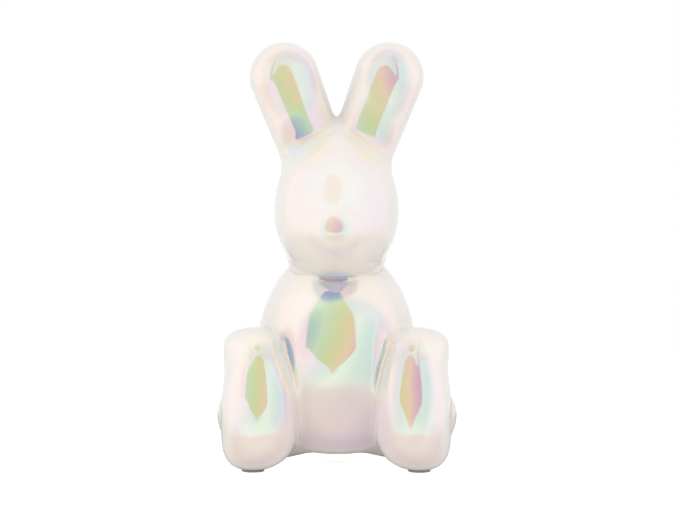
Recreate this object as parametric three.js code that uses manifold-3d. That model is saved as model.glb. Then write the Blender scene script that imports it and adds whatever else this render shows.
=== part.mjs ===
// Seated bunny figurine in glazed ceramic: a hollow slip-cast body and head, with ears, feet, haunches,
// a tail and a nose bead luted on, standing on four anti-slip pads.
// Millimetres, +Z up, the face looks along -Y, the table is z = 0.

import * as THREE from 'three';
import { mergeVertices } from 'three/addons/utils/BufferGeometryUtils.js';
import Module from 'manifold-3d';

const wasm = await Module();
wasm.setup();

// Joints between pieces
const SEAM = 0.3;                 // slip line left between two luted castings
const GLUE_FILM = 0.3;            // glue between a pad and the casting above it

// Body: an egg that is rounder above its widest level and squarer below
const BODY_WIDTH = 74;
const BODY_DEPTH = 72;
const BODY_CROWN = 52;            // widest level to the crown, which the head hides
const BODY_BELLY = 44;            // widest level to the underside
const BODY_CLEARANCE = 5.1;       // table to the underside
const BODY_SHOULDER_POWER = 2.06;
const BODY_BELLY_POWER = 3.2;
const BODY_WALL = 4;
const DRAIN_DIAMETER = 14;
const NECK_BORE = 18;

// Head: an egg with a snout pulled forward out of its face
const HEAD_WIDTH = 57;
const HEAD_DEPTH = 59;
const HEAD_CROWN = 36.8;          // widest level to the top
const HEAD_CHIN = 32.6;           // widest level to the chin
const HEAD_POWER = 2.04;
const HEAD_WALL = 4;
const HEAD_FORWARD = 12;          // how far the head sits in front of the body's axis
const NECK_SINK = 15.5;           // how far the body's crown rises into the head
const SNOUT_REACH = 6;
const SNOUT_WIDTH = 30;
const SNOUT_HEIGHT = 26;
const SNOUT_DROP = 7.5;           // snout's tip below the head's widest level

// Nose bead
const NOSE_WIDTH = 12.5;
const NOSE_HEIGHT = 11.5;
const NOSE_DEPTH = 7.4;
const NOSE_SINK = 4.6;            // depth of the bead inside the snout

// Ears: nearly round in section, a ball end on a stem that tapers a little
const EAR_WIDTH = 31.7;
const EAR_DEPTH = 29;
const EAR_ROOT_WIDTH = 28;
const EAR_STEM = 48.5;            // ball centre to the root
const EAR_TAPER_POWER = 1.2;      // how late the stem narrows towards the root
const EAR_TILT = 20.6;            // degrees outward from upright
const EAR_ROOT_SPACING = 14.1;    // between the two roots' centres
const EAR_ROOT_SINK = 21.1;       // root below the head's top
const EAR_SETBACK = 8;            // ears behind the head's centre

// Feet: an upright sole bubble, rounded at the heel and the toe, leaning back and splayed out at the heel,
// and an ankle bubble behind it in the same casting
const SOLE_WIDTH = 34.8;
const SOLE_DEPTH = 37;
const SOLE_HEIGHT = 62.8;
const SOLE_TOE = 30;              // height of the rounded top
const SOLE_HEEL = 19;             // height of the rounded bottom
const SOLE_TOE_POWER = 2.3;
const SOLE_HEEL_POWER = 2.45;
const SOLE_LEAN = 3.5;            // how far back the toe leans
const SOLE_LEAN_POWER = 1.6;      // how late the lean begins
const HEEL_SPLAY = 3;             // how far outward the heel's bottom leans
const SOLE_BEARING = 38.9;        // degrees from the sideways direction round to the front
const SOLE_SINK = 9.2;            // how far the sole enters the body's widest girth
const ANKLE_WIDTH = 30;
const ANKLE_DEPTH = 27;
const ANKLE_HEIGHT = 64.8;
const ANKLE_TOE = 9.5;            // height of its rounded top
const ANKLE_HEEL = 24;            // height of its rounded bottom
const ANKLE_POWER = 2.2;
const ANKLE_LIFT = 3;             // its bottom above the heel
const ANKLE_ARCH = 1;             // how far the arch draws in
const ANKLE_ARCH_LEVEL = 40.9;    // arch above the heel
const ANKLE_ARCH_SPAN = 6.5;
const ANKLE_OUT = 1.6;            // ankle's axis outward of the sole's
const ANKLE_BACK = 6.5;           // ankle's axis behind the sole's

// Haunches: round bubbles that join the feet to the body and carry the back
const HAUNCH_WIDTH = 49;
const HAUNCH_LENGTH = 52;
const HAUNCH_CROWN = 17;          // widest level to the top
const HAUNCH_BELLY = 21.1;        // widest level to the bottom
const HAUNCH_POWER = 2.1;
const HAUNCH_SINK = 30;           // how far the haunch reaches into the body
const HAUNCH_FOOT_OVERLAP = 8;    // how far the haunch reaches into the foot

// Tail
const TAIL_DIAMETER = 22;
const TAIL_LEVEL = 22;            // tail's centre above the table
const TAIL_SINK = 4;              // how far the tail enters the body

// Anti-slip pads
const PAD_DIAMETER = 10.5;
const PAD_THICKNESS = 1;
const PAD_EDGE = 0.5;             // rounding of the lower rim
const GROUND_FLAT = 0.6;          // depth ground off a foot or haunch to seat its pad

// Facets
const BODY_FACETS = 40;
const HEAD_FACETS = 36;
const LIMB_FACETS = 24;
const SMALL_FACETS = 20;
const RINGS = 18;
const SMALL_RINGS = 10;
const HOLLOW = { facets: 24, rings: 12 };
const WELD = 1e-4;

// Levels and places that follow from the sizes above
const castingFloor = PAD_THICKNESS + GLUE_FILM;
const bodyLevel = BODY_CLEARANCE + BODY_BELLY;
const headLevel = bodyLevel + BODY_CROWN - NECK_SINK + HEAD_CHIN;
const headPlace = new THREE.Vector3(0, -HEAD_FORWARD, headLevel);
const footPlace = placeFoot();
const haunchPlace = placeHaunch();

// Width of a superellipse quarter at a level, as a share of its widest
function girthShare(level, height, power) {
  return Math.pow(Math.max(0, 1 - Math.pow(Math.abs(level) / height, power)), 1 / power);
}

function bodyRadiusShare(z) {
  const level = z - bodyLevel;
  const above = level > 0;
  const height = above ? BODY_CROWN : BODY_BELLY;
  return girthShare(level, height, above ? BODY_SHOULDER_POWER : BODY_BELLY_POWER);
}

// The sole stands beside the body's widest girth, on a bearing round to the front
function placeFoot() {
  const bearing = THREE.MathUtils.degToRad(SOLE_BEARING);
  const sideways = Math.cos(bearing);
  const forward = Math.sin(bearing);
  const reach = (width, depth) => 1 / Math.hypot(2 * sideways / width, 2 * forward / depth);
  const away = reach(BODY_WIDTH, BODY_DEPTH) + reach(SOLE_WIDTH, SOLE_DEPTH) - SOLE_SINK;
  return new THREE.Vector3(away * sideways, -away * forward, castingFloor - GROUND_FLAT);
}

// The haunch bulges out of the body's side and meets the back of the foot
function placeHaunch() {
  const x = BODY_WIDTH / 2 + HAUNCH_WIDTH / 2 - HAUNCH_SINK;
  const y = footPlace.y + SOLE_DEPTH / 2 + HAUNCH_LENGTH / 2 - HAUNCH_FOOT_OVERLAP;
  return new THREE.Vector3(x, y, castingFloor - GROUND_FLAT + HAUNCH_BELLY);
}

// Profile of a bubble from its bottom to its top, ground flat at floor where that is above the bottom
function bubbleProfile({ radius, up, down, upPower, downPower, rings, floor = -down }) {
  const points = [new THREE.Vector2(0, floor)];
  if (floor > -down) {
    points.push(new THREE.Vector2(radius * girthShare(floor, down, downPower), floor));
  }
  for (let ring = 1; ring < rings; ring++) {
    const angle = Math.PI * (ring / rings - 0.5);
    const power = angle > 0 ? upPower : downPower;
    const height = angle > 0 ? up : down;
    const level = height * Math.sign(angle) * Math.pow(Math.abs(Math.sin(angle)), 2 / power);
    if (level > floor + WELD) {
      points.push(new THREE.Vector2(radius * Math.pow(Math.cos(angle), 2 / power), level));
    }
  }
  points.push(new THREE.Vector2(0, up));
  return points;
}

// Solid of revolution about Z from a profile of (radius, height), flattened to the depth front to back
function turned(profile, facets, depthShare = 1) {
  const geometry = new THREE.LatheGeometry(profile, facets);
  geometry.rotateX(Math.PI / 2);
  geometry.scale(1, depthShare, 1);
  return geometry;
}

function bubble({ width, depth, facets, ...shape }) {
  return turned(bubbleProfile({ radius: width / 2, ...shape }), facets, depth / width);
}

// Closed solid from a geometry whose seam and poles are welded
function solid(geometry) {
  const bare = geometry.clone();
  bare.deleteAttribute('normal');
  bare.deleteAttribute('uv');
  const welded = mergeVertices(bare, WELD);
  const index = welded.index.array;
  const triangles = [];
  for (let i = 0; i < index.length; i += 3) {
    const [a, b, c] = index.slice(i, i + 3);
    if (a !== b && b !== c && c !== a) {
      triangles.push(a, b, c);
    }
  }
  return new wasm.Manifold(new wasm.Mesh({
    numProp: 3,
    vertProperties: welded.attributes.position.array,
    triVerts: new Uint32Array(triangles),
  }));
}

function geometryOf(manifold) {
  const { vertProperties, triVerts } = manifold.getMesh();
  const geometry = new THREE.BufferGeometry();
  geometry.setAttribute('position', new THREE.BufferAttribute(vertProperties, 3));
  geometry.setIndex(new THREE.BufferAttribute(triVerts, 1));
  geometry.computeVertexNormals();
  return geometry;
}

// Vertical bore through a wall, from one height to another
function bore({ diameter, from, to, y = 0 }) {
  const geometry = new THREE.CylinderGeometry(diameter / 2, diameter / 2, to - from, LIMB_FACETS);
  geometry.rotateX(Math.PI / 2);
  geometry.translate(0, y, (from + to) / 2);
  return solid(geometry);
}

// Body's outside, grown all round by a clearance, or shrunk by a wall
function bodyForm(grow, { facets, rings } = { facets: BODY_FACETS, rings: RINGS }) {
  const geometry = bubble({
    width: BODY_WIDTH + 2 * grow,
    depth: BODY_DEPTH + 2 * grow,
    up: BODY_CROWN + grow,
    down: BODY_BELLY + grow,
    upPower: BODY_SHOULDER_POWER,
    downPower: BODY_BELLY_POWER,
    facets,
    rings,
  });
  geometry.translate(0, 0, bodyLevel);
  return solid(geometry);
}

// Snout's pull on a point of the head, strongest at the tip and gone at the head's side
function snoutPull(x, y, z) {
  const spread = Math.exp(-((2 * x / SNOUT_WIDTH) ** 2) - ((2 * (z + SNOUT_DROP) / SNOUT_HEIGHT) ** 2));
  const facing = THREE.MathUtils.clamp(-2 * y / HEAD_DEPTH, 0, 1);
  return SNOUT_REACH * spread * facing;
}

function headForm(grow, { facets, rings } = { facets: HEAD_FACETS, rings: RINGS }) {
  const geometry = bubble({
    width: HEAD_WIDTH + 2 * grow,
    depth: HEAD_DEPTH + 2 * grow,
    up: HEAD_CROWN + grow,
    down: HEAD_CHIN + grow,
    upPower: HEAD_POWER,
    downPower: HEAD_POWER,
    facets,
    rings,
  });
  const position = geometry.attributes.position;
  for (let i = 0; i < position.count; i++) {
    const y = position.getY(i);
    position.setY(i, y - snoutPull(position.getX(i), y, position.getZ(i)));
  }
  geometry.translate(headPlace.x, headPlace.y, headPlace.z);
  return solid(geometry);
}

// Ear upright on its root, then leaned outward: a ball end, and a stem that narrows slowly below it
function earForm(side, grow) {
  const ball = EAR_WIDTH / 2 + grow;
  const taper = (EAR_WIDTH - EAR_ROOT_WIDTH) / 2;
  const profile = [new THREE.Vector2(0, 0)];
  for (let ring = 0; ring < SMALL_RINGS; ring++) {
    const along = ring / SMALL_RINGS;
    profile.push(new THREE.Vector2(ball - taper * (1 - along) ** EAR_TAPER_POWER, EAR_STEM * along));
  }
  for (let ring = 0; ring < SMALL_RINGS; ring++) {
    const angle = Math.PI / 2 * ring / SMALL_RINGS;
    profile.push(new THREE.Vector2(ball * Math.cos(angle), EAR_STEM + ball * Math.sin(angle)));
  }
  profile.push(new THREE.Vector2(0, EAR_STEM + ball));
  const geometry = turned(profile, LIMB_FACETS, EAR_DEPTH / EAR_WIDTH);
  geometry.rotateY(side * THREE.MathUtils.degToRad(EAR_TILT));
  const root = headLevel + HEAD_CROWN - EAR_ROOT_SINK;
  geometry.translate(side * EAR_ROOT_SPACING / 2, headPlace.y + EAR_SETBACK, root);
  return solid(geometry);
}

// Radius share of an upright bubble at a height: rounded heel, straight sides, rounded toe
function uprightShare(height, bottom, top, { heel, toe, heelPower, toePower }) {
  const low = girthShare(Math.min(0, height - bottom - heel), heel, heelPower);
  const high = girthShare(Math.max(0, height - top + toe), toe, toePower);
  return low * high;
}

function soleRadius(height) {
  const ends = { heel: SOLE_HEEL, toe: SOLE_TOE, heelPower: SOLE_HEEL_POWER, toePower: SOLE_TOE_POWER };
  return SOLE_WIDTH / 2 * uprightShare(height, 0, SOLE_HEIGHT, ends);
}

function ankleRadius(height) {
  const ends = { heel: ANKLE_HEEL, toe: ANKLE_TOE, heelPower: ANKLE_POWER, toePower: ANKLE_POWER };
  const arch = ANKLE_ARCH * Math.exp(-(((height - ANKLE_ARCH_LEVEL) / ANKLE_ARCH_SPAN) ** 2));
  return (ANKLE_WIDTH / 2 - arch) * uprightShare(height, ANKLE_LIFT, ANKLE_HEIGHT, ends);
}

// Upright solid of revolution whose radius is given for each height, grown all round by a clearance
function upright({ radiusAt, bottom, top, rings, depthShare, grow }) {
  const half = (top - bottom) / 2;
  const profile = [new THREE.Vector2(0, bottom - grow)];
  if (radiusAt(bottom) > 0) {
    profile.push(new THREE.Vector2(radiusAt(bottom) + grow, bottom - grow));
  }
  for (let ring = 1; ring < rings; ring++) {
    const rise = Math.sin(Math.PI * (ring / rings - 0.5));
    const height = bottom + half * (1 + rise);
    profile.push(new THREE.Vector2(radiusAt(height) + grow, height + grow * rise));
  }
  profile.push(new THREE.Vector2(0, top + grow));
  return turned(profile, LIMB_FACETS, depthShare);
}

// How far outward the sole's axis leans at a height
function heelLean(height) {
  return HEEL_SPLAY * THREE.MathUtils.clamp((SOLE_HEEL - height) / SOLE_HEEL, 0, 1) ** 2;
}

// How far back the sole's axis leans at a height
function toeLean(height) {
  return SOLE_LEAN * THREE.MathUtils.clamp(height / SOLE_HEIGHT, 0, 1) ** SOLE_LEAN_POWER;
}

function soleForm(side, grow) {
  const geometry = upright({
    radiusAt: soleRadius,
    bottom: GROUND_FLAT,
    top: SOLE_HEIGHT,
    rings: 2 * SMALL_RINGS,
    depthShare: SOLE_DEPTH / SOLE_WIDTH,
    grow,
  });
  const position = geometry.attributes.position;
  for (let i = 0; i < position.count; i++) {
    const height = position.getZ(i);
    position.setX(i, position.getX(i) + side * heelLean(height));
    position.setY(i, position.getY(i) + toeLean(height));
  }
  geometry.translate(side * footPlace.x, footPlace.y, footPlace.z);
  return solid(geometry);
}

function ankleForm(side, grow) {
  const geometry = upright({
    radiusAt: ankleRadius,
    bottom: ANKLE_LIFT,
    top: ANKLE_HEIGHT,
    rings: RINGS,
    depthShare: ANKLE_DEPTH / ANKLE_WIDTH,
    grow,
  });
  geometry.translate(side * (footPlace.x + ANKLE_OUT), footPlace.y + ANKLE_BACK, footPlace.z);
  return solid(geometry);
}

function footForm(side, grow) {
  return soleForm(side, grow).add(ankleForm(side, grow));
}

function haunchForm(side) {
  const geometry = bubble({
    width: HAUNCH_WIDTH,
    depth: HAUNCH_LENGTH,
    up: HAUNCH_CROWN,
    down: HAUNCH_BELLY,
    upPower: HAUNCH_POWER,
    downPower: HAUNCH_POWER,
    facets: LIMB_FACETS,
    rings: RINGS,
    floor: GROUND_FLAT - HAUNCH_BELLY,
  });
  geometry.translate(side * haunchPlace.x, haunchPlace.y, haunchPlace.z);
  return solid(geometry);
}

// Ball-like bubble with equal halves, for the nose and the tail
function beadForm(width, depth, height, x, y, z) {
  const geometry = bubble({
    width,
    depth,
    up: height / 2,
    down: height / 2,
    upPower: 2,
    downPower: 2,
    facets: SMALL_FACETS,
    rings: SMALL_RINGS,
  });
  geometry.translate(x, y, z);
  return solid(geometry);
}

function noseForm() {
  const faceAtTip = HEAD_DEPTH / 2 * girthShare(SNOUT_DROP, HEAD_CHIN, HEAD_POWER);
  const tip = faceAtTip + snoutPull(0, -faceAtTip, -SNOUT_DROP);
  const y = headPlace.y - tip - NOSE_DEPTH / 2 + NOSE_SINK;
  return beadForm(NOSE_WIDTH, NOSE_DEPTH, NOSE_HEIGHT, 0, y, headLevel - SNOUT_DROP);
}

function tailForm() {
  const back = BODY_DEPTH / 2 * bodyRadiusShare(TAIL_LEVEL);
  const y = back + TAIL_DIAMETER / 2 - TAIL_SINK;
  return beadForm(TAIL_DIAMETER, TAIL_DIAMETER, TAIL_DIAMETER, 0, y, TAIL_LEVEL);
}

function padGeometry() {
  const radius = PAD_DIAMETER / 2;
  const outline = new THREE.Path();
  outline.moveTo(0, 0);
  outline.lineTo(radius - PAD_EDGE, 0);
  outline.absarc(radius - PAD_EDGE, PAD_EDGE, PAD_EDGE, -Math.PI / 2, 0, false);
  outline.lineTo(radius, PAD_THICKNESS);
  outline.lineTo(0, PAD_THICKNESS);
  return geometryOf(solid(turned(outline.getPoints(1), SMALL_FACETS)));
}

// Hollow casting of the body, with its drain hole below and, half way forward to the head's axis, the
// neck bore up into the head
function bodyCasting() {
  const drain = { diameter: DRAIN_DIAMETER, from: 0, to: bodyLevel };
  const neck = { diameter: NECK_BORE, from: bodyLevel, to: headLevel, y: -HEAD_FORWARD / 2 };
  return bodyForm(0).subtract(bodyForm(-BODY_WALL, HOLLOW)).subtract(bore(drain)).subtract(bore(neck));
}

// Hollow casting of the head, open where it seats on the body's shoulders
function headCasting() {
  return headForm(0).subtract(headForm(-HEAD_WALL, HOLLOW)).subtract(bodyForm(SEAM));
}

const glaze = { color: 0xf1ebe6, roughness: 0.12, metalness: 0 };
const padRubber = { color: 0xb4afac, roughness: 0.75, metalness: 0 };

function piece(name, geometry, finish) {
  const mesh = new THREE.Mesh(geometry, new THREE.MeshStandardMaterial(finish));
  mesh.name = name;
  return mesh;
}

function addPad(figurine, name, x, y) {
  const pad = piece(name, padGeometry(), padRubber);
  pad.position.set(x, y, 0);
  figurine.add(pad);
}

function buildFigurine() {
  const figurine = new THREE.Group();
  const bodySeat = bodyForm(SEAM);
  const headSeat = headForm(SEAM);
  figurine.add(piece('body_casting', geometryOf(bodyCasting()), glaze));
  figurine.add(piece('head_casting', geometryOf(headCasting()), glaze));
  figurine.add(piece('nose_bead', geometryOf(noseForm().subtract(headSeat)), glaze));
  figurine.add(piece('tail_ball', geometryOf(tailForm().subtract(bodySeat)), glaze));
  for (const [name, side] of [['left', -1], ['right', 1]]) {
    const ear = earForm(side, 0).subtract(headSeat);
    const parted = side > 0 ? ear.subtract(earForm(-side, SEAM)) : ear;
    const foot = footForm(side, 0).subtract(bodySeat);
    const haunch = haunchForm(side).subtract(bodySeat).subtract(footForm(side, SEAM));
    figurine.add(piece(`ear_${name}`, geometryOf(parted), glaze));
    figurine.add(piece(`foot_${name}`, geometryOf(foot), glaze));
    figurine.add(piece(`haunch_${name}`, geometryOf(haunch), glaze));
    addPad(figurine, `pad_front_${name}`, side * (footPlace.x + heelLean(GROUND_FLAT)), footPlace.y);
    addPad(figurine, `pad_rear_${name}`, side * haunchPlace.x, haunchPlace.y);
  }
  return figurine;
}

// The finished figurine stands on the table with the middle of its footprint at the origin
const figurine = buildFigurine();
const footprint = new THREE.Box3().setFromObject(figurine).getCenter(new THREE.Vector3());
figurine.position.set(-footprint.x, -footprint.y, 0);

export default figurine;
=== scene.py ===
import math

import bpy
import numpy as np
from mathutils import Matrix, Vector


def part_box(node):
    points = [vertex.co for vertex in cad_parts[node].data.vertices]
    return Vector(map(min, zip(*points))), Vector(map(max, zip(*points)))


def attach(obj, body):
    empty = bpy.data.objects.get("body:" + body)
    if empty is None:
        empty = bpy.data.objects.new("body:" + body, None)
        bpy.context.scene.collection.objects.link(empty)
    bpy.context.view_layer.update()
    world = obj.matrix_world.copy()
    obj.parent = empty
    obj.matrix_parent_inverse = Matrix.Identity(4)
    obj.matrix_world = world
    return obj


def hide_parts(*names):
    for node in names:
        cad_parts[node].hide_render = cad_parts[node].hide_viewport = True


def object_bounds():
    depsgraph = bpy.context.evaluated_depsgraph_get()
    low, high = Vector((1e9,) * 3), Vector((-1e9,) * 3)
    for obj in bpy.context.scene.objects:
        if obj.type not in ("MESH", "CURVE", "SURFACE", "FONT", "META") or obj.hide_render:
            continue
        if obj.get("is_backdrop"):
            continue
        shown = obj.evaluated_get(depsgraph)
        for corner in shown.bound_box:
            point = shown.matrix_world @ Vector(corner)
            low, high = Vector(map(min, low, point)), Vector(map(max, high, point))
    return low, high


# Seated bunny figurine in pearl-glazed ceramic. Its castings keep the frame's sizes and places. The glaze
# runs over their seams, so each visible surface is the smooth union of the neighbouring forms.
# Sizes below are in millimetres, and the meshes are written in metres.

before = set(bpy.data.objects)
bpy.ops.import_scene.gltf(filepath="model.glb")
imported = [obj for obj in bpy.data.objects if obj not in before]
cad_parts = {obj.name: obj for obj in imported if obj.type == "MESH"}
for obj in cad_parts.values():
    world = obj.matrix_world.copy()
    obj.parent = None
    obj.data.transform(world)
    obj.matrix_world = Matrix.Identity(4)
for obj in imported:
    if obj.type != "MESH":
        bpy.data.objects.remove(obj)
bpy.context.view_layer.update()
MM = 0.001


def corners(node):
    """The low and high corners of a node's box in the frame."""
    return [np.array(corner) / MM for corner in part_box(node)]


body_low, body_high = corners("body_casting")
foot_low, foot_high = corners("foot_right")
haunch_high = corners("haunch_right")[1]
head_high = corners("head_casting")[1]
nose_low = corners("nose_bead")[0]
tail_low, tail_high = corners("tail_ball")
pad_low, pad_high = corners("pad_front_right")

# Where the castings' undersides lie, above the pads' own, and how much of each is ground off flat
CASTING_FLOOR = foot_low[2]
GROUND_FLAT = 0.6

# Body casting
BODY_WIDTH = 74
BODY_DEPTH = 72
BODY_CROWN = 52
BODY_BELLY = 44
BODY_CLEARANCE = 5.1
BODY_SHOULDER_POWER = 2.06
BODY_BELLY_POWER = 3.2
BODY_WALL = 4
DRAIN_DIAMETER = 14
NECK_BORE = 18
body_place = np.array([0, (body_low[1] + body_high[1]) / 2, BODY_CLEARANCE + BODY_BELLY])

# Head casting, with a snout pulled forward out of it
HEAD_WIDTH = 57
HEAD_DEPTH = 59
HEAD_CROWN = 36.8
HEAD_CHIN = 32.6
HEAD_POWER = 2.04
HEAD_WALL = 4
HEAD_FORWARD = 12
SNOUT_REACH = 6
SNOUT_WIDTH = 30
SNOUT_HEIGHT = 26
SNOUT_DROP = 7.5
SNOUT_PASSES = 4
head_place = np.array([0, body_place[1] - HEAD_FORWARD, head_high[2] - HEAD_CROWN])

# Nose bead and tail
NOSE_WIDTH = 12.5
NOSE_HEIGHT = 11.5
NOSE_DEPTH = 7.4
NOSE_SETTLE = 3.2
TAIL_DIAMETER = 22
nose_place = np.array([0, nose_low[1] + NOSE_DEPTH / 2 + NOSE_SETTLE, head_place[2] - SNOUT_DROP])
tail_place = np.array([0, tail_high[1] - TAIL_DIAMETER / 2, (tail_low[2] + tail_high[2]) / 2])

# Ears: a stem that widens upwards, with a round ball at its end
EAR_WIDTH = 31.7
EAR_DEPTH = 29
EAR_ROOT_WIDTH = 28
EAR_STEM = 48.5
EAR_TAPER_POWER = 1.2
EAR_TILT = math.radians(20.6)
EAR_ROOT_SPACING = 14.1
EAR_ROOT_SINK = 21.1
EAR_SETBACK = 8
ear_place = np.array([EAR_ROOT_SPACING / 2, head_place[1] + EAR_SETBACK, head_high[2] - EAR_ROOT_SINK])

# Feet: an upright sole bubble that leans back a little, and the ankle bubble behind it
SOLE_WIDTH = 34.8
SOLE_DEPTH = 37
SOLE_HEIGHT = 62.8
SOLE_TOE = 36
SOLE_HEEL = 19
SOLE_TOE_POWER = 2.15
SOLE_HEEL_POWER = 2.45
SOLE_LEAN = 3.5
SOLE_LEAN_POWER = 1.6
HEEL_SPLAY = 3
ANKLE_WIDTH = 30
ANKLE_DEPTH = 27
ANKLE_HEIGHT = 64.8
ANKLE_TOE = 9.5
ANKLE_HEEL = 24
ANKLE_TOE_POWER = 2.2
ANKLE_HEEL_POWER = 2.2
ANKLE_LIFT = 3
ANKLE_ARCH = 1
ANKLE_ARCH_LEVEL = 40.9
ANKLE_ARCH_SPAN = 6.5
ANKLE_OUT = 1.6
ANKLE_BACK = 6.5
sole_place = np.array([
    foot_high[0] - SOLE_WIDTH / 2,
    (pad_low[1] + pad_high[1]) / 2,
    CASTING_FLOOR - GROUND_FLAT,
])
ankle_place = sole_place + [ANKLE_OUT, ANKLE_BACK, 0]

# Haunches
HAUNCH_WIDTH = 49
HAUNCH_LENGTH = 52
HAUNCH_CROWN = 17
HAUNCH_BELLY = 21.1
HAUNCH_POWER = 2.1
haunch_place = np.array([
    haunch_high[0] - HAUNCH_WIDTH / 2,
    haunch_high[1] - HAUNCH_LENGTH / 2,
    CASTING_FLOOR - GROUND_FLAT + HAUNCH_BELLY,
])

# Pads
PAD_RIM = 0.35
PAD_BULGE = 0.12

# Glaze: how widely it rounds the joints, how a piece dives under it past them, and how its surface wanders,
# with each wave's length, direction and phase
NECK_FILLET = 2.5
EAR_FILLET = 6
EAR_GAP_FILLET = 5
ANKLE_FILLET = 3
FOOT_FILLET = 4.5
UNDERSIDE_FILLET = 14
UNDERSIDE_LEVEL = 20
HAUNCH_FILLET = 9
TAIL_FILLET = 5
NOSE_FILLET = 9
DIVE = 0.12
TUCK = 0.4
WAVE_HEIGHT = 0.05
WAVES = (
    (23.0, (0.8, 0.3, 0.5), 0.4),
    (17.0, (-0.4, 0.7, 0.6), 1.9),
    (29.0, (0.2, -0.5, 0.8), 3.1),
    (13.0, (0.9, 0.1, -0.4), 5.0),
)

# Meshes: spacing of points, least counts, how far points may move onto the glaze and in how many halvings,
# and the step over which a form's slope is taken
STEP = 0.9
FINE_STEP = 0.45
PAD_STEP = 0.25
CUTTER_STEP = 1.6
LEAST_STEPS = 5
LEAST_SIDES = 24
PROFILE_POINTS = 6001
EAR_PROFILE_POINTS = 600
RIM_POINTS = 25
GLAZE_REACH = 8
ANKLE_REACH = 16
HALVINGS = 17
PROBE = 0.01
EDGE_ANGLE = math.radians(38)

# Cuts: how deep the seats lap into their neighbours, and the depth below the glaze where clay is bare
SEAT_LAP = 0.5
BARE_DEPTH = 1.0
GROUND_MARGIN = 1e-3
FACE_MARGIN = 1e-2

# A distance that takes no part in a union, and two small values that keep divisions off zero
FAR = 1e3
TINY = 1e-9
LEAST_SLOPE = 1e-12


# Signed distances, about right near each form's surface, positive outside
def mirrored(points, side):
    return points * np.array([side, 1, 1])


def merged(a, b, fillet):
    """Smooth union of two distances: fillet is the difference between them over which it rounds."""
    near = np.clip(1 - np.abs(a - b) / fillet, 0, None)
    return np.minimum(a, b) - near * near * fillet / 4


def egg(points, place, size, heights, powers):
    """Bubble with its own height and power above and below its widest level."""
    x, y, z = (points - place).T
    above = z > 0
    power = np.where(above, powers[0], powers[1])
    height = np.where(above, heights[0], heights[1])
    wide, deep = size[0] / 2, size[1] / 2
    across = np.hypot(x / wide, y / deep) + TINY
    level = np.abs(z) / height
    reach = (across ** power + level ** power) ** (1 / power)
    slope_across = (across / reach) ** (power - 1) * np.hypot(x / wide ** 2, y / deep ** 2) / across
    slope_level = (level / reach) ** (power - 1) / height
    return (reach - 1) / np.hypot(slope_across, slope_level)


def body_form(points):
    return egg(
        points,
        body_place,
        (BODY_WIDTH, BODY_DEPTH),
        (BODY_CROWN, BODY_BELLY),
        (BODY_SHOULDER_POWER, BODY_BELLY_POWER),
    )


def snout_pull(x, y, z):
    """How far forward the snout's pull moves a point of the plain head."""
    spread = np.exp(-((2 * x / SNOUT_WIDTH) ** 2) - ((2 * (z + SNOUT_DROP) / SNOUT_HEIGHT) ** 2))
    return SNOUT_REACH * spread * np.clip(-2 * y / HEAD_DEPTH, 0, 1)


def head_form(points):
    """The head, found by moving each point back along the snout's pull."""
    x, y, z = (points - head_place).T
    pushed = y
    for _ in range(SNOUT_PASSES):
        pushed = y + snout_pull(x, pushed, z)
    plain = np.stack([x, pushed, z], 1) + head_place
    return egg(
        plain, head_place, (HEAD_WIDTH, HEAD_DEPTH), (HEAD_CROWN, HEAD_CHIN), (HEAD_POWER, HEAD_POWER)
    )


def ear_radius(along):
    share = np.clip(along / EAR_STEM, 0, 1)
    return EAR_WIDTH / 2 - (EAR_WIDTH - EAR_ROOT_WIDTH) / 2 * (1 - share) ** EAR_TAPER_POWER


def ear_form(points, side):
    x, y, z = (mirrored(points, side) - ear_place).T
    along = x * math.sin(EAR_TILT) + z * math.cos(EAR_TILT)
    across = np.hypot(x * math.cos(EAR_TILT) - z * math.sin(EAR_TILT), y * EAR_WIDTH / EAR_DEPTH)
    ball = np.hypot(across, np.maximum(along - EAR_STEM, 0))
    return ball - ear_radius(along)


def sole_shift(height):
    """How far the sole's centre line splays out at the heel and leans back above it."""
    splay = HEEL_SPLAY * np.clip((SOLE_HEEL - height) / SOLE_HEEL, 0, 1) ** 2
    lean = SOLE_LEAN * np.clip(height / SOLE_HEIGHT, 0, 1) ** SOLE_LEAN_POWER
    return np.stack([splay, lean], 1)


def ankle_arch(height):
    return ANKLE_ARCH * np.exp(-(((height - ANKLE_ARCH_LEVEL) / ANKLE_ARCH_SPAN) ** 2))


def bubble(x, y, z, radius, depth_share, height, toe, heel, powers):
    """Upright bubble of any radius along its height, with a rounded top (toe) and bottom (heel)."""
    across = np.hypot(x, y / depth_share) / radius + TINY
    below = np.clip((heel - z) / heel, 0, None)
    over = np.clip((z - height + toe) / toe, 0, None)
    power = np.where(below > 0, powers[1], powers[0])
    level = np.maximum(below, over)
    rise = np.where(below > 0, heel, toe)
    reach = (across ** power + level ** power) ** (1 / power)
    slope_across = (across / reach) ** (power - 1) / radius
    slope_level = (level / reach) ** (power - 1) / rise
    return (reach - 1) / np.hypot(slope_across, slope_level)


def sole_form(points, side):
    place = mirrored(points, side) - sole_place
    x, y = (place[:, :2] - sole_shift(place[:, 2])).T
    return bubble(
        x,
        y,
        place[:, 2],
        SOLE_WIDTH / 2,
        SOLE_DEPTH / SOLE_WIDTH,
        SOLE_HEIGHT,
        SOLE_TOE,
        SOLE_HEEL,
        (SOLE_TOE_POWER, SOLE_HEEL_POWER),
    )


def ankle_form(points, side):
    x, y, z = (mirrored(points, side) - ankle_place).T
    return bubble(
        x,
        y,
        z - ANKLE_LIFT,
        ANKLE_WIDTH / 2 - ankle_arch(z),
        ANKLE_DEPTH / ANKLE_WIDTH,
        ANKLE_HEIGHT - ANKLE_LIFT,
        ANKLE_TOE,
        ANKLE_HEEL,
        (ANKLE_TOE_POWER, ANKLE_HEEL_POWER),
    )


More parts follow.
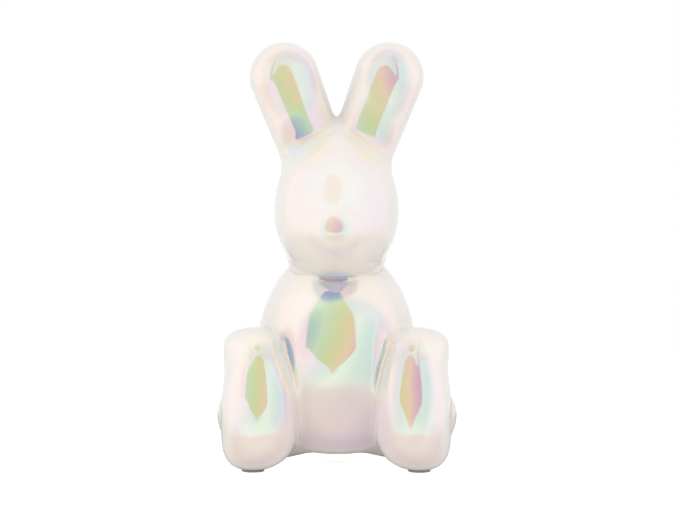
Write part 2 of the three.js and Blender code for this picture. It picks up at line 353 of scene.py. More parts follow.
def foot_form(points, side):
    return merged(sole_form(points, side), ankle_form(points, side), ANKLE_FILLET)


def haunch_form(points, side):
    return egg(
        mirrored(points, side),
        haunch_place,
        (HAUNCH_WIDTH, HAUNCH_LENGTH),
        (HAUNCH_CROWN, HAUNCH_BELLY),
        (HAUNCH_POWER, HAUNCH_POWER),
    )


def nose_form(points):
    half = NOSE_HEIGHT / 2
    return egg(points, nose_place, (NOSE_WIDTH, NOSE_DEPTH), (half, half), (2, 2))


def tail_form(points):
    half = TAIL_DIAMETER / 2
    return egg(points, tail_place, (TAIL_DIAMETER, TAIL_DIAMETER), (half, half), (2, 2))


FORMS = {
    "body_casting": body_form,
    "head_casting": head_form,
    "nose_bead": nose_form,
    "tail_ball": tail_form,
    "ear_left": lambda points: ear_form(points, -1),
    "ear_right": lambda points: ear_form(points, 1),
    "foot_left": lambda points: foot_form(points, -1),
    "foot_right": lambda points: foot_form(points, 1),
    "haunch_left": lambda points: haunch_form(points, -1),
    "haunch_right": lambda points: haunch_form(points, 1),
}

NEIGHBOURS = {
    "body_casting": ("head_casting", "tail_ball", "foot_left", "foot_right", "haunch_left", "haunch_right"),
    "head_casting": ("body_casting", "nose_bead", "ear_left", "ear_right"),
    "nose_bead": ("head_casting",),
    "tail_ball": ("body_casting", "haunch_left", "haunch_right"),
    "ear_left": ("head_casting", "ear_right"),
    "ear_right": ("head_casting", "ear_left"),
    "foot_left": ("body_casting", "haunch_left"),
    "foot_right": ("body_casting", "haunch_right"),
    "haunch_left": ("body_casting", "foot_left", "tail_ball"),
    "haunch_right": ("body_casting", "foot_right", "tail_ball"),
}


def wander(points):
    total = np.zeros(len(points))
    for length, direction, phase in WAVES:
        along = points @ (np.array(direction) / np.linalg.norm(direction))
        total += np.sin(2 * math.pi * along / length + phase)
    return WAVE_HEIGHT * total / len(WAVES) ** 0.5


def glazed(points, name):
    """Distances near one casting to the figure's glazed surface and to the casting's own form, and how far
    past its joints a point lies."""
    distance = {}
    for other in FORMS:
        near = other == name or other in NEIGHBOURS[name]
        distance[other] = FORMS[other](points) if near else np.full(len(points), FAR)
    whole = merged(distance["body_casting"], distance["head_casting"], NECK_FILLET)
    ears = merged(distance["ear_left"], distance["ear_right"], EAR_GAP_FILLET)
    whole = merged(whole, ears, EAR_FILLET)
    low = np.clip((UNDERSIDE_LEVEL - points[:, 2]) / UNDERSIDE_LEVEL, 0, 1)
    inner = np.clip((sole_place[0] - np.abs(points[:, 0])) / SOLE_WIDTH * 2 + 0.5, 0, 1)
    foot_fillet = FOOT_FILLET + (UNDERSIDE_FILLET - FOOT_FILLET) * low * low * inner
    for side in ("left", "right"):
        whole = merged(whole, distance[f"haunch_{side}"], HAUNCH_FILLET)
    for side in ("left", "right"):
        whole = merged(whole, distance[f"foot_{side}"], foot_fillet)
    whole = merged(whole, distance["tail_ball"], TAIL_FILLET)
    whole = merged(whole, distance["nose_bead"], NOSE_FILLET)
    others = np.min([distance[other] for other in NEIGHBOURS[name]], axis=0)
    return whole - wander(points), distance[name], distance[name] - others


# Meshes: each casting starts as its own turned form, and its points then move onto the glazed surface
def resampled(profile, step):
    """The same line of (radius, height) points, an even step apart."""
    lengths = np.hypot(*np.diff(profile, axis=0).T)
    along = np.concatenate([[0], np.cumsum(lengths)])
    places = np.linspace(0, along[-1], max(LEAST_STEPS, round(along[-1] / step)) + 1)
    return np.stack([np.interp(places, along, profile[:, axis]) for axis in (0, 1)], 1)


def egg_profile(radius, heights, powers, floor=None):
    """Half outline of an egg from its bottom to its top, ground flat at floor."""
    angle = np.linspace(-math.pi / 2, math.pi / 2, PROFILE_POINTS)
    above = angle > 0
    power = np.where(above, powers[0], powers[1])
    height = np.where(above, heights[0], heights[1])
    level = height * np.sign(angle) * np.abs(np.sin(angle)) ** (2 / power)
    line = np.stack([radius * np.abs(np.cos(angle)) ** (2 / power), level], 1)
    line[[0, -1], 0] = 0
    return line if floor is None else line[level >= floor]


def sole_profile():
    half = SOLE_HEIGHT / 2
    height = half - half * np.cos(np.linspace(0, math.pi, PROFILE_POINTS))
    height = height[height >= GROUND_FLAT]
    heel = np.clip((SOLE_HEEL - height) / SOLE_HEEL, 0, 1)
    toe = np.clip((height - SOLE_HEIGHT + SOLE_TOE) / SOLE_TOE, 0, 1)
    radius = SOLE_WIDTH / 2 * (1 - heel ** SOLE_HEEL_POWER) ** (1 / SOLE_HEEL_POWER)
    radius = radius * (1 - toe ** SOLE_TOE_POWER) ** (1 / SOLE_TOE_POWER)
    radius[-1] = 0
    return np.stack([radius, height], 1)


def ear_profile():
    stem = np.linspace(0, EAR_STEM, EAR_PROFILE_POINTS)
    angle = np.linspace(0, math.pi / 2, EAR_PROFILE_POINTS)[1:]
    ball = EAR_WIDTH / 2 * np.stack([np.cos(angle), np.sin(angle)], 1) + [0, EAR_STEM]
    ball[-1, 0] = 0
    return np.concatenate([np.stack([ear_radius(stem), stem], 1), ball])


def turned(line, step, depth_share=1):
    """Closed solid of revolution about Z from a line of (radius, height), flattened front to back."""
    side = resampled(line, step)
    if line[0, 0] > 0:
        base = resampled(np.array([[0, line[0, 1]], line[0]]), step)
        side = np.concatenate([base[:-1], side])
    rings = side[1:-1]
    count = max(LEAST_SIDES, 2 * round(math.pi * side[:, 0].max() / step))
    turn = np.arange(count) * 2 * math.pi / count
    ring_x = rings[:, :1] * np.cos(turn)
    ring_y = rings[:, :1] * np.sin(turn) * depth_share
    ring_z = np.broadcast_to(rings[:, 1:], ring_x.shape)
    points = np.stack([ring_x, ring_y, ring_z], 2).reshape(-1, 3)
    bottom, top = len(points), len(points) + 1
    points = np.concatenate([points, [[0, 0, side[0, 1]], [0, 0, side[-1, 1]]]])
    here = np.arange(count)
    after = (here + 1) % count
    faces = []
    for ring in range(len(rings) - 1):
        low, high = ring * count, (ring + 1) * count
        faces.append(np.stack([low + here, low + after, high + after, high + here], 1))
    last = (len(rings) - 1) * count
    caps = [
        np.stack([after, here, np.full(count, bottom)], 1),
        np.stack([last + here, last + after, np.full(count, top)], 1),
    ]
    return points, np.concatenate(faces).tolist() + np.concatenate(caps).tolist()


def outward(points, form):
    """Unit direction in which a form's distance grows."""
    steps = PROBE * np.eye(3)
    slope = np.stack([form(points + step) - form(points - step) for step in steps], 1)
    return slope / (np.linalg.norm(slope, axis=1, keepdims=True) + LEAST_SLOPE)


def settled(points, way, field, reach):
    """Moves each point along its way to where the field turns positive, at most reach away."""
    low, high = np.full(len(points), -TUCK), np.full(len(points), float(reach))
    for _ in range(HALVINGS):
        middle = (low + high) / 2
        inside = field(points + way * middle[:, None]) < 0
        low = np.where(inside, middle, low)
        high = np.where(inside, high, middle)
    return points + way * high[:, None]


def onto_glaze(points, name):
    """Moves each point straight out or in to the glazed surface, and under it past a joint."""
    def surface(places):
        whole, own, past = glazed(places, name)
        return np.minimum(whole + DIVE * np.clip(past, 0, None) ** 2, own + TUCK)

    moved = settled(points, outward(points, FORMS[name]), surface, GLAZE_REACH)
    ground = points[:, 2] < CASTING_FLOOR + GROUND_MARGIN
    moved[ground] = points[ground]
    return moved


def mesh_object(name, points, faces):
    mesh = bpy.data.meshes.new(name)
    mesh.from_pydata((points * MM).tolist(), [], faces)
    mesh.validate()
    made = bpy.data.objects.new(name, mesh)
    bpy.context.scene.collection.objects.link(made)
    return made


def base_mesh(name, step=STEP):
    """One casting's own form, with no glaze over its joints."""
    side = -1 if name.endswith("left") else 1
    if name == "body_casting":
        line = egg_profile(
            BODY_WIDTH / 2, (BODY_CROWN, BODY_BELLY), (BODY_SHOULDER_POWER, BODY_BELLY_POWER)
        )
        points, faces = turned(line, step, BODY_DEPTH / BODY_WIDTH)
        points = points + body_place
    elif name == "head_casting":
        line = egg_profile(HEAD_WIDTH / 2, (HEAD_CROWN, HEAD_CHIN), (HEAD_POWER, HEAD_POWER))
        points, faces = turned(line, step, HEAD_DEPTH / HEAD_WIDTH)
        points[:, 1] -= snout_pull(*points.T)
        points = points + head_place
    elif name == "nose_bead":
        half = NOSE_HEIGHT / 2
        points, faces = turned(
            egg_profile(NOSE_WIDTH / 2, (half, half), (2, 2)), FINE_STEP, NOSE_DEPTH / NOSE_WIDTH
        )
        points = points + nose_place
    elif name == "tail_ball":
        half = TAIL_DIAMETER / 2
        points, faces = turned(egg_profile(half, (half, half), (2, 2)), step)
        points = points + tail_place
    elif name.startswith("ear"):
        points, faces = turned(ear_profile(), step, EAR_DEPTH / EAR_WIDTH)
        x, y, z = points.T
        points = ear_place + np.stack([
            x * math.cos(EAR_TILT) + z * math.sin(EAR_TILT),
            y,
            z * math.cos(EAR_TILT) - x * math.sin(EAR_TILT),
        ], 1)
    elif name.startswith("foot"):
        points, faces = turned(sole_profile(), step, SOLE_DEPTH / SOLE_WIDTH)
        points[:, :2] += sole_shift(points[:, 2])
        points = points + sole_place
        ground = points[:, 2] < CASTING_FLOOR + GROUND_MARGIN
        way = outward(points, lambda places: sole_form(places, 1))
        way[ground] = 0
        points = settled(points, way, FORMS["foot_right"], ANKLE_REACH)
    else:
        line = egg_profile(
            HAUNCH_WIDTH / 2,
            (HAUNCH_CROWN, HAUNCH_BELLY),
            (HAUNCH_POWER, HAUNCH_POWER),
            GROUND_FLAT - HAUNCH_BELLY,
        )
        points, faces = turned(line, step, HAUNCH_LENGTH / HAUNCH_WIDTH)
        points = points + haunch_place
    if side < 0:
        points = mirrored(points, side)
        faces = [face[::-1] for face in faces]
    return points, faces


def seat_cutter(name, grow):
    """A neighbour's own form, grown a little, that cuts the seat of the piece luted onto it."""
    points, faces = base_mesh(name, CUTTER_STEP)
    points = points + outward(points, FORMS[name]) * grow
    return mesh_object(f"seat_{name}", points, faces)


def hollow_cutter(name):
    if name == "body_casting":
        line = egg_profile(
            BODY_WIDTH / 2 - BODY_WALL,
            (BODY_CROWN - BODY_WALL, BODY_BELLY - BODY_WALL),
            (BODY_SHOULDER_POWER, BODY_BELLY_POWER),
        )
        points, faces = turned(line, CUTTER_STEP, (BODY_DEPTH / 2 - BODY_WALL) / (BODY_WIDTH / 2 - BODY_WALL))
        return mesh_object("body_hollow", points + body_place, faces)
    line = egg_profile(
        HEAD_WIDTH / 2 - HEAD_WALL, (HEAD_CROWN - HEAD_WALL, HEAD_CHIN - HEAD_WALL), (HEAD_POWER, HEAD_POWER)
    )
    points, faces = turned(line, CUTTER_STEP, (HEAD_DEPTH / 2 - HEAD_WALL) / (HEAD_WIDTH / 2 - HEAD_WALL))
    points[:, 1] -= snout_pull(*points.T)
    return mesh_object("head_hollow", points + head_place, faces)


def bore_cutter(name, diameter, low, high, y):
    line = np.array([[0, low], [diameter / 2, low], [diameter / 2, high], [0, high]])
    points, faces = turned(line, CUTTER_STEP)
    return mesh_object(name, points + [0, y, 0], faces)


def cut_by(piece, cutters):
    """Cuts a piece by closed cutters, which are used up."""
    for cutter in cutters:
        cut = piece.modifiers.new(cutter.name, "BOOLEAN")
        cut.operation = "DIFFERENCE"
        cut.solver = "MANIFOLD"
        cut.object = cutter
    graph = bpy.context.evaluated_depsgraph_get()
    whole = bpy.data.meshes.new_from_object(piece.evaluated_get(graph))
    piece.modifiers.clear()
    plain, piece.data = piece.data, whole
    whole.name = piece.name
    bpy.data.meshes.remove(plain)
    for cutter in cutters:
        bpy.data.objects.remove(cutter)


def cutters_for(name):
    if name == "body_casting":
        return [
            hollow_cutter(name),
            bore_cutter("drain", DRAIN_DIAMETER, 0, body_place[2], body_place[1]),
            bore_cutter("neck", NECK_BORE, body_place[2], head_place[2], body_place[1] - HEAD_FORWARD / 2),
        ]
    seats = [seat_cutter(other, -SEAT_LAP) for other in SEATS[name]]
    return seats + [hollow_cutter(name)] if name == "head_casting" else seats


SEATS = {
    "head_casting": ("body_casting",),
    "nose_bead": ("head_casting",),
    "tail_ball": ("body_casting",),
    "ear_left": ("head_casting",),
    "ear_right": ("head_casting", "ear_left"),
    "foot_left": ("body_casting",),
    "foot_right": ("body_casting",),
    "haunch_left": ("body_casting", "foot_left"),
    "haunch_right": ("body_casting", "foot_right"),
}


def finish_mesh(piece, name, glaze, bare):
    """Smooth shading, with bare fired clay inside the casting, in its seats and on its ground flat."""
    mesh = piece.data
    mesh.materials.clear()
    mesh.materials.append(glaze)
    mesh.materials.append(bare)
    centres = np.zeros(len(mesh.polygons) * 3)
    mesh.polygons.foreach_get("center", centres)
    centres = centres.reshape(-1, 3) / MM
    whole = glazed(centres, name)[0]
    hidden = (whole < -BARE_DEPTH) | (centres[:, 2] < CASTING_FLOOR + FACE_MARGIN)
    mesh.polygons.foreach_set("material_index", hidden.astype(np.int32))
    mesh.shade_smooth()
    mesh.set_sharp_from_angle(angle=EDGE_ANGLE)


# Materials
def new_material(name):
    material = bpy.data.materials.new(name)
    material.use_nodes = True
    tree = material.node_tree
    return material, tree, tree.nodes["Principled BSDF"]


def operation_node(tree, kind, operation, values):
    made = tree.nodes.new(kind)
    made.operation = operation
    for socket, value in zip(made.inputs, values):
        if isinstance(value, bpy.types.NodeSocket):
            tree.links.new(value, socket)
        else:
            socket.default_value = value
    return made.outputs


def math_node(tree, operation, *values):
    return operation_node(tree, "ShaderNodeMath", operation, values)[0]


def vector_node(tree, operation, *values):
    outputs = operation_node(tree, "ShaderNodeVectorMath", operation, values)
    return outputs["Value" if operation in ("DOT_PRODUCT", "DISTANCE") else "Vector"]


def threefold(tree, value):
    """The same value for red, green and blue."""
    made = tree.nodes.new("ShaderNodeCombineXYZ")
    for socket in made.inputs:
        tree.links.new(value, socket)
    return made.outputs[0]


def noise(tree, place, scale, detail=2.0):
    made = tree.nodes.new("ShaderNodeTexNoise")
    made.inputs["Scale"].default_value = scale
    made.inputs["Detail"].default_value = detail
    tree.links.new(place, made.inputs["Vector"])
    return made.outputs["Fac"]


def ramp(tree, value, start, end):
    made = tree.nodes.new("ShaderNodeMapRange")
    made.interpolation_type = "SMOOTHSTEP"
    tree.links.new(value, made.inputs["Value"])
    made.inputs["From Min"].default_value = start
    made.inputs["From Max"].default_value = end
    return made.outputs[0]


# Glaze: its refractive index and roughness, and the colour of the clay seen through it
GLAZE_INDEX = 1.5
GLAZE_ROUGHNESS = 0.06
CLAY_WHITE = (0.822, 0.794, 0.757)

# Lustre film: the wavelengths in nm of red, green and blue, the index that sets the light's path in the
# film, the light lost in it everywhere and, besides, on surfaces turned away from the spray, and how much
# of each colour it reflects away, which grows with its own index
WAVELENGTHS = np.array([612.0, 549.0, 464.0])
FILM_INDEX = 2.3
FILM_LOSS = 0.04
SIDE_LOSS = 0.055
FILM_SWING = 0.34
FILM_SWING_FROM = 1.53

# The lustre is sprayed from the front and the back, so it fades on surfaces that face sideways, up or down.
# The first two are cosines of a surface's angle to the spray, and the third is the share left beyond them.
SPRAY_FADES_AT = 0.44
SPRAY_FULL_AT = 0.84
SIDE_SPRAY = 0.12

# How far the film's thickness wanders, in nm, and the scale of that noise
FILM_WANDER = 9.0
FILM_WANDER_SCALE = 45.0

# Where the lustre is strong: centre and reach in mm, film thickness in nm, its change in nm per mm along
# X, Y and Z, and the film's refractive index, which sets how strongly it shows. In turn: each ear high and
# low, chest high and low, the flanks behind the feet, the soles, nose, lower body, heels and face.
LUSTRE = (
    ((-21.5, -20, 177), (10.5, 13, 13), 256, (2.6, 0, 0.8), 2.34),
    ((-13.5, -20, 152.5), (9.5, 13, 13.5), 212, (2.4, 0, 1.9), 2.36),
    ((23.5, -20, 177), (7.5, 13, 13), 272, (2.4, 0, 1.2), 2.34),
    ((15.5, -20, 152.5), (8.5, 13, 13.5), 238, (2.6, 0, 0.6), 2.35),
    ((0, -24, 84.5), (8, 9, 8.5), 174, (2.6, 0, -6.0), 2.5),
    ((4, -38, 60), (18, 17, 17), 262, (2.6, 0, -0.9), 2.42),
    ((-24, -34, 52), (4.5, 8, 15), 202, (0, 0, 0), 2.4),
    ((21, -34, 52), (4, 8, 16), 202, (0, 0, 0), 2.35),
    ((-32.5, -46, 40), (9.2, 14, 18), 260, (4.2, 0, 0), 2.42),
    ((34.5, -46, 39), (7.2, 14, 20), 271, (3.8, 0, 0), 2.42),
    ((0, -50, 113), (5.5, 8, 5), 288, (3.5, 0, 0), 2.55),
    ((0, -36, 21), (20, 22, 21), 276, (0.1, 0, 0), 2.18),
    ((-36, -46, 12), (12, 20, 11), 271, (0, 0, 0), 2.05),
    ((36, -46, 12), (12, 20, 11), 271, (0, 0, 0), 2.05),
    ((0, -34, 118), (24, 20, 26), 264, (0.3, 0, 0.3), 1.78),
)

# The faint film over everything else, whose thickness wanders too
REST_FILM = 256
REST_WANDER = 26.0
REST_WANDER_SCALE = 16.0
REST_INDEX = 1.78
REST_WEIGHT = 0.12


def total(tree, sockets):
    """Sum of several values."""
    result = sockets[0]
    for socket in sockets[1:]:
        result = math_node(tree, "ADD", result, socket)
    return result


def pearl_glaze():
    """White glaze under a thin lustre film. The film's thickness sets the colour that it reflects, and the
    clay below shows what the film lets through twice."""
    material, tree, shader = new_material("pearl_glaze")
    place = tree.nodes.new("ShaderNodeTexCoord").outputs["Object"]
    weights, films, indices = [], [], []
    for centre, reach, thickness, change, index in LUSTRE:
        away = vector_node(tree, "SUBTRACT", place, tuple(MM * v for v in centre))
        share = vector_node(tree, "DIVIDE", away, tuple(MM * v for v in reach))
        near = vector_node(tree, "DOT_PRODUCT", share, share)
        steep = math_node(tree, "MULTIPLY", near, near)
        weight = math_node(tree, "EXPONENT", math_node(tree, "MULTIPLY", steep, -1))
        drift = vector_node(tree, "DOT_PRODUCT", away, tuple(v / MM for v in change))
        film = math_node(tree, "ADD", drift, thickness)
        weights.append(weight)
        films.append(math_node(tree, "MULTIPLY", weight, film))
        indices.append(math_node(tree, "MULTIPLY", weight, index))
    whole = math_node(tree, "ADD", total(tree, weights), REST_WEIGHT)
    index = math_node(tree, "ADD", total(tree, indices), REST_WEIGHT * REST_INDEX)
    index = math_node(tree, "DIVIDE", index, whole)
    normal = tree.nodes.new("ShaderNodeTexCoord").outputs["Normal"]
    towards = math_node(tree, "ABSOLUTE", vector_node(tree, "DOT_PRODUCT", normal, (0, 1, 0)))
    sprayed = ramp(tree, towards, SPRAY_FADES_AT, SPRAY_FULL_AT)
    sprayed = math_node(tree, "MULTIPLY_ADD", sprayed, 1 - SIDE_SPRAY, SIDE_SPRAY)
    index = math_node(tree, "SUBTRACT", index, GLAZE_INDEX)
    index = math_node(tree, "MULTIPLY_ADD", index, sprayed, GLAZE_INDEX)
    waver = math_node(tree, "SUBTRACT", noise(tree, place, FILM_WANDER_SCALE), 0.5)
    rest = math_node(tree, "SUBTRACT", noise(tree, place, REST_WANDER_SCALE), 0.5)
    rest = math_node(tree, "MULTIPLY_ADD", rest, 2 * REST_WANDER, REST_FILM)
    film = math_node(tree, "MULTIPLY_ADD", rest, REST_WEIGHT, total(tree, films))
    film = math_node(tree, "DIVIDE", film, whole)
    film = math_node(tree, "MULTIPLY_ADD", waver, 2 * FILM_WANDER, film)
    path = math_node(tree, "MULTIPLY", film, FILM_INDEX)

    swing = math_node(tree, "MULTIPLY", math_node(tree, "SUBTRACT", index, FILM_SWING_FROM), FILM_SWING)
    phase = vector_node(tree, "MULTIPLY", threefold(tree, path), tuple(4 * math.pi / WAVELENGTHS))
    wave = vector_node(tree, "MULTIPLY_ADD", vector_node(tree, "COSINE", phase), (0.5,) * 3, (-0.5,) * 3)
    lost = vector_node(tree, "MULTIPLY", wave, threefold(tree, swing))
    kept = math_node(tree, "MULTIPLY_ADD", sprayed, SIDE_LOSS, 1 - FILM_LOSS - SIDE_LOSS)
    through = vector_node(tree, "ADD", lost, threefold(tree, kept))
    colour = vector_node(tree, "MULTIPLY", vector_node(tree, "MULTIPLY", through, through), CLAY_WHITE)
    tree.links.new(colour, shader.inputs["Base Color"])
    tree.links.new(math_node(tree, "DIVIDE", path, index), shader.inputs["Thin Film Thickness"])
    tree.links.new(index, shader.inputs["Thin Film IOR"])
    shader.inputs["IOR"].default_value = GLAZE_INDEX
    shader.inputs["Roughness"].default_value = GLAZE_ROUGHNESS
    return material


def grained(name, dark, pale, scale, detail, roughness, bump_strength, bump_depth):
    """Matt material whose tint and surface follow one fine grain."""
    material, tree, shader = new_material(name)
    place = tree.nodes.new("ShaderNodeTexCoord").outputs["Object"]
    grain = noise(tree, place, scale, detail)
    tint = tree.nodes.new("ShaderNodeMix")
    tint.data_type = "RGBA"
    tint.inputs[6].default_value = dark
    tint.inputs[7].default_value = pale
    tree.links.new(grain, tint.inputs[0])
    tree.links.new(tint.outputs[2], shader.inputs["Base Color"])
    shader.inputs["Roughness"].default_value = roughness
    bump = tree.nodes.new("ShaderNodeBump")
    bump.inputs["Strength"].default_value = bump_strength
    bump.inputs["Distance"].default_value = bump_depth
    tree.links.new(grain, bump.inputs["Height"])
    tree.links.new(bump.outputs[0], shader.inputs["Normal"])
    return material


# Pieces
glaze = pearl_glaze()
clay = grained(
    "bare_clay",
    dark=(0.62, 0.57, 0.50, 1),
    pale=(0.74, 0.70, 0.64, 1),
    scale=900.0,
    detail=4.0,
    roughness=0.85,
    bump_strength=0.3,
    bump_depth=0.0002,
)
foam = grained(
    "pad_rubber",
    dark=(0.36, 0.34, 0.33, 1),
    pale=(0.46, 0.44, 0.42, 1),
    scale=2500.0,
    detail=3.0,
    roughness=0.8,
    bump_strength=0.5,
    bump_depth=0.0001,
)

for name in FORMS:
    points, faces = base_mesh(name)
    piece = mesh_object(f"glazed_{name}", onto_glaze(points, name), faces)
    cut_by(piece, cutters_for(name))
    finish_mesh(piece, name, glaze, clay)
    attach(piece, "root")
    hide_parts(name)


def pad_profile(radius, height):
    """Half outline of a pad from its middle below to its middle above, with a rounded rim."""
    turn = np.linspace(-math.pi / 2, math.pi / 2, RIM_POINTS)
    side = radius - PAD_RIM - PAD_BULGE + (PAD_RIM + PAD_BULGE) * np.cos(turn)
    rim = np.stack([side, height / 2 + height / 2 * np.sin(turn)], 1)
    return np.concatenate([[[0, 0]], rim, [[0, height]]])


for end in ("front", "rear"):
    for side in ("left", "right"):
        node = f"pad_{end}_{side}"
        low, high = corners(node)
        points, faces = turned(pad_profile((high[0] - low[0]) / 2, high[2] - low[2]), PAD_STEP)
        middle = (low + high) / 2
        pad = mesh_object(f"soft_{node}", points + [middle[0], middle[1], low[2]], faces)
        pad.data.materials.append(foam)
        pad.data.shade_smooth()
        pad.data.set_sharp_from_angle(angle=EDGE_ANGLE)
        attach(pad, "root")
        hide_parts(node)

# Camera, in metres: the photograph's low view from just above the table
IMAGE_WIDTH = 680
SENSOR_WIDTH = 36
METRES_PER_PIXEL = 0.463e-3
CAMERA_DISTANCE = 1.6
CAMERA_TARGET = Vector((0.0015, 0.0, 0.0957))
CAMERA_AZIMUTH = math.radians(0.5)
CAMERA_ELEVATION = math.radians(5)


def direction(azimuth, elevation):
    """Unit vector from the object, azimuth 0 at the bunny's front and + to the viewer's right."""
    return Vector((
        math.sin(azimuth) * math.cos(elevation),
        -math.cos(azimuth) * math.cos(elevation),
        math.sin(elevation),
    ))


camera = bpy.data.objects.new("camera", bpy.data.cameras.new("camera"))
bpy.context.scene.collection.objects.link(camera)
bpy.context.scene.camera = camera
camera.data.sensor_width = SENSOR_WIDTH
camera.data.lens = SENSOR_WIDTH * CAMERA_DISTANCE / (IMAGE_WIDTH * METRES_PER_PIXEL)
back = direction(CAMERA_AZIMUTH, CAMERA_ELEVATION)
camera.location = CAMERA_TARGET + back * CAMERA_DISTANCE
camera.rotation_mode = "QUATERNION"
camera.rotation_quaternion = (-back).to_track_quat("-Z", "Y")

# Floor, in metres: white to the camera, with the object's own soft shadow. In the glaze's reflections it is
# darker close to the object, a painted shade that shows only in reflections. It glows faintly on the object,
# most of all from right under it, where the fill light doesn't reach.
FLOOR_RADIUS = 0.5
FLOOR_SIDES = 96
FLOOR_WHITE = (0.9, 0.9, 0.9, 1)
# Painted shade on the floor as the glaze reflects it: its colour, and the radii within which it is full and
# beyond which it is gone
FLOOR_REFLECTED_SHADE = (0.36, 0.33, 0.32, 1)
REFLECTED_SHADE_RADII = (0.2, 0.34)
FLOOR_GLOW = 0.8
FLOOR_BOUNCE = 0.07
FLOOR_UNDERGLOW = 0.17
UNDERGLOW_RADII = (0.04, 0.065)


def floor_material():
    material, tree, shader = new_material("floor")
    tree.nodes.remove(shader)
    out = tree.nodes["Material Output"]
    matt = tree.nodes.new("ShaderNodeBsdfDiffuse")
    matt.inputs["Color"].default_value = FLOOR_WHITE
    # Painted shade: the darker floor that the glaze's reflections see near the object
    reflected_shade_matt = tree.nodes.new("ShaderNodeBsdfDiffuse")
    reflected_shade_matt.inputs["Color"].default_value = FLOOR_REFLECTED_SHADE
    glow = tree.nodes.new("ShaderNodeEmission")
    path = tree.nodes.new("ShaderNodeLightPath")
    seen = path.outputs["Is Camera Ray"]
    surface = tree.nodes.new("ShaderNodeMixShader")
    place = tree.nodes.new("ShaderNodeTexCoord").outputs["Object"]
    away = vector_node(tree, "DISTANCE", place, (0, 0, 0))
    # How much of the painted shade shows in reflections, full close to the object
    reflected_shade_share = ramp(tree, away, REFLECTED_SHADE_RADII[1], REFLECTED_SHADE_RADII[0])
    tree.links.new(math_node(tree, "MULTIPLY", path.outputs["Is Glossy Ray"], reflected_shade_share), surface.inputs[0])
    tree.links.new(matt.outputs[0], surface.inputs[1])
    tree.links.new(reflected_shade_matt.outputs[0], surface.inputs[2])
    under = ramp(tree, away, UNDERGLOW_RADII[1], UNDERGLOW_RADII[0])
    bounce = math_node(tree, "MULTIPLY_ADD", under, FLOOR_UNDERGLOW - FLOOR_BOUNCE, FLOOR_BOUNCE)
    direct = math_node(tree, "MULTIPLY", seen, math_node(tree, "SUBTRACT", FLOOR_GLOW, bounce))
    strength = math_node(tree, "ADD", direct, bounce)
    tree.links.new(strength, glow.inputs["Strength"])
    both = tree.nodes.new("ShaderNodeAddShader")
    tree.links.new(surface.outputs[0], both.inputs[0])
    tree.links.new(glow.outputs[0], both.inputs[1])
    tree.links.new(both.outputs[0], out.inputs["Surface"])
    return material


turn = np.arange(FLOOR_SIDES) * 2 * math.pi / FLOOR_SIDES
ring = np.stack([np.cos(turn), np.sin(turn), 0 * turn], 1) * FLOOR_RADIUS / MM
floor = mesh_object("floor", ring, [list(range(FLOOR_SIDES))])
floor.data.materials.append(floor_material())
floor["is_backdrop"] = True


# Light: a white room with two broad softboxes either side of the camera and a dark gap between them, in
# degrees of azimuth and elevation seen from the object. BOXES holds each box's middle azimuth and elevation
# and half its width and height.
ROOM_LEVEL = 1.02
BOX_LEVEL = 1.36
GAP_LEVEL = 0.1
BOXES = ((-77, 8, 36, 31), (68, 8, 42, 31))
BOX_SKEW = 0.35
BOX_POWER = 4
BOX_SOFTNESS = 0.05
GAP_MIDDLE = -8
GAP_HALF_WIDTH = 36
GAP_TOP = 75
EDGE_SOFTNESS = 2
TOP_SOFTNESS = 5


def room():
    """World that lights the object and shows in its glaze, and that the camera sees as plain white."""
    world = bpy.data.worlds.new("room")
    bpy.context.scene.world = world
    world.use_nodes = True
    tree = world.node_tree
    background = tree.nodes["Background"]
    way = tree.nodes.new("ShaderNodeSeparateXYZ")
    tree.links.new(tree.nodes.new("ShaderNodeTexCoord").outputs["Generated"], way.inputs[0])
    x, y, z = way.outputs
    degrees = 180 / math.pi
    azimuth = math_node(tree, "ARCTAN2", x, math_node(tree, "MULTIPLY", y, -1))
    azimuth = math_node(tree, "MULTIPLY", azimuth, degrees)
    elevation = math_node(tree, "MULTIPLY", math_node(tree, "ARCSINE", z), degrees)

    level = ROOM_LEVEL
    for centre, middle, half_width, half_height in BOXES:
        side = 1 if centre > 0 else -1
        out = math_node(tree, "MULTIPLY", math_node(tree, "SUBTRACT", azimuth, centre), side / half_width)
        up = math_node(tree, "SUBTRACT", elevation, middle)
        up = math_node(tree, "MULTIPLY_ADD", out, BOX_SKEW * half_width, up)
        up = math_node(tree, "DIVIDE", up, half_height)
        reach = math_node(
            tree,
            "ADD",
            math_node(tree, "POWER", math_node(tree, "ABSOLUTE", out), BOX_POWER),
            math_node(tree, "POWER", math_node(tree, "ABSOLUTE", up), BOX_POWER),
        )
        lit = ramp(tree, reach, 1 + BOX_SOFTNESS * BOX_POWER, 1 - BOX_SOFTNESS * BOX_POWER)
        level = math_node(tree, "MULTIPLY_ADD", lit, BOX_LEVEL - ROOM_LEVEL, level)
    aside = math_node(tree, "ABSOLUTE", math_node(tree, "SUBTRACT", azimuth, GAP_MIDDLE))
    gap = math_node(
        tree,
        "MULTIPLY",
        ramp(tree, aside, GAP_HALF_WIDTH + EDGE_SOFTNESS, GAP_HALF_WIDTH - EDGE_SOFTNESS),
        ramp(tree, elevation, GAP_TOP + TOP_SOFTNESS, GAP_TOP - TOP_SOFTNESS),
    )
    dimming = math_node(tree, "MULTIPLY_ADD", gap, -1, 1)
    level = math_node(tree, "MULTIPLY_ADD", level, dimming, math_node(tree, "MULTIPLY", gap, GAP_LEVEL))
    seen = tree.nodes.new("ShaderNodeLightPath").outputs["Is Camera Ray"]
    rest = math_node(tree, "MULTIPLY", level, math_node(tree, "SUBTRACT", 1, seen))
    tree.links.new(math_node(tree, "ADD", rest, seen), background.inputs["Strength"])
    background.inputs["Color"].default_value = (1, 1, 1, 1)


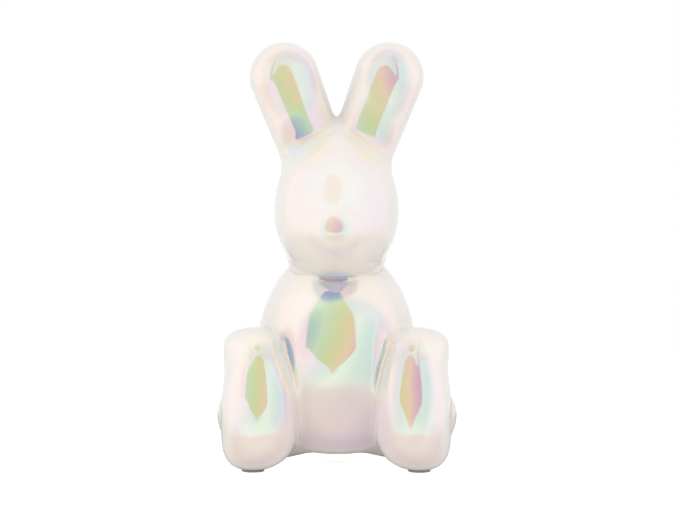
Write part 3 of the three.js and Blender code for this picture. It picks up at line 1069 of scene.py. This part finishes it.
# White card in front that closes the gap's top, with a peaked notch in its lower edge, in metres
CARD_FORWARD = 0.2
CARD_MIDDLE = -0.0345
CARD_HALF_WIDTH = 0.14
CARD_NOTCH_HALF_WIDTH = 0.119
CARD_NOTCH_FOOT = 0.198
CARD_PEAK_HALF_WIDTH = 0.05
CARD_NOTCH_PEAK = 0.32
CARD_LEVEL = 1.1
CARD_TOP = 1.2


def studio_card(name, points, level):
    """A flat card of even brightness that shows only in reflections."""
    made = mesh_object(name, np.array(points) / MM, [list(range(len(points)))])
    material, tree, shader = new_material(name)
    tree.nodes.remove(shader)
    glow = tree.nodes.new("ShaderNodeEmission")
    glow.inputs["Strength"].default_value = level
    tree.links.new(glow.outputs[0], tree.nodes["Material Output"].inputs["Surface"])
    made.data.materials.append(material)
    made.visible_camera = False
    made.visible_diffuse = False
    made.visible_shadow = False
    made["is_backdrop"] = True


def card():
    outline = [
        (-CARD_HALF_WIDTH, CARD_NOTCH_FOOT),
        (-CARD_NOTCH_HALF_WIDTH, CARD_NOTCH_FOOT),
        (-CARD_PEAK_HALF_WIDTH, CARD_NOTCH_PEAK),
        (CARD_PEAK_HALF_WIDTH, CARD_NOTCH_PEAK),
        (CARD_NOTCH_HALF_WIDTH, CARD_NOTCH_FOOT),
        (CARD_HALF_WIDTH, CARD_NOTCH_FOOT),
        (CARD_HALF_WIDTH, CARD_TOP),
        (-CARD_HALF_WIDTH, CARD_TOP),
    ]
    points = [(CARD_MIDDLE + x, -CARD_FORWARD, z) for x, z in outline]
    studio_card("white_card", points, CARD_LEVEL)


# White cards at the table's edge, whose curved inner edges narrow the gap towards its foot, in metres
WEDGE_FORWARD = 0.43
WEDGE_MIDDLE = -0.05
WEDGE_HALF_WIDTH = 0.29
WEDGE_FOOT = 0.009
WEDGE_HEIGHT = 0.1
WEDGE_DROP = 0.3
WEDGE_POWER = 0.55
WEDGE_OUT = 0.5
WEDGE_POINTS = 16


def wedges():
    for side in (-1, 1):
        rise = np.linspace(0, 1, WEDGE_POINTS)
        edge = [
            (side * WEDGE_HALF_WIDTH * share ** WEDGE_POWER, WEDGE_FOOT + (WEDGE_HEIGHT - WEDGE_FOOT) * share)
            for share in rise
        ]
        outline = [
            (0, -WEDGE_DROP),
            *edge,
            (side * WEDGE_OUT, WEDGE_HEIGHT),
            (side * WEDGE_OUT, -WEDGE_DROP),
        ]
        points = [(WEDGE_MIDDLE + x, -WEDGE_FORWARD, z) for x, z in outline]
        studio_card(f"wedge_{'left' if side < 0 else 'right'}", points, BOX_LEVEL)


# Fill light from the front, in metres and watts: broad enough to leave no shadow edge, and left out of the
# reflections
FILL_SIZE = 1.0
FILL_DISTANCE = 1.5
FILL_POWER = 14.8
FILL_AZIMUTH = math.radians(-8)
FILL_ELEVATION = math.radians(30)


def fill_light():
    light = bpy.data.lights.new("fill", "AREA")
    light.size = FILL_SIZE
    light.energy = FILL_POWER
    lamp = bpy.data.objects.new("fill", light)
    bpy.context.scene.collection.objects.link(lamp)
    away = direction(FILL_AZIMUTH, FILL_ELEVATION)
    lamp.location = CAMERA_TARGET + away * FILL_DISTANCE
    lamp.rotation_mode = "QUATERNION"
    lamp.rotation_quaternion = away.to_track_quat("Z", "Y")
    lamp.visible_camera = False
    lamp.visible_glossy = False


room()
card()
wedges()
fill_light()
bpy.context.scene.view_settings.view_transform = "Standard"

low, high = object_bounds()
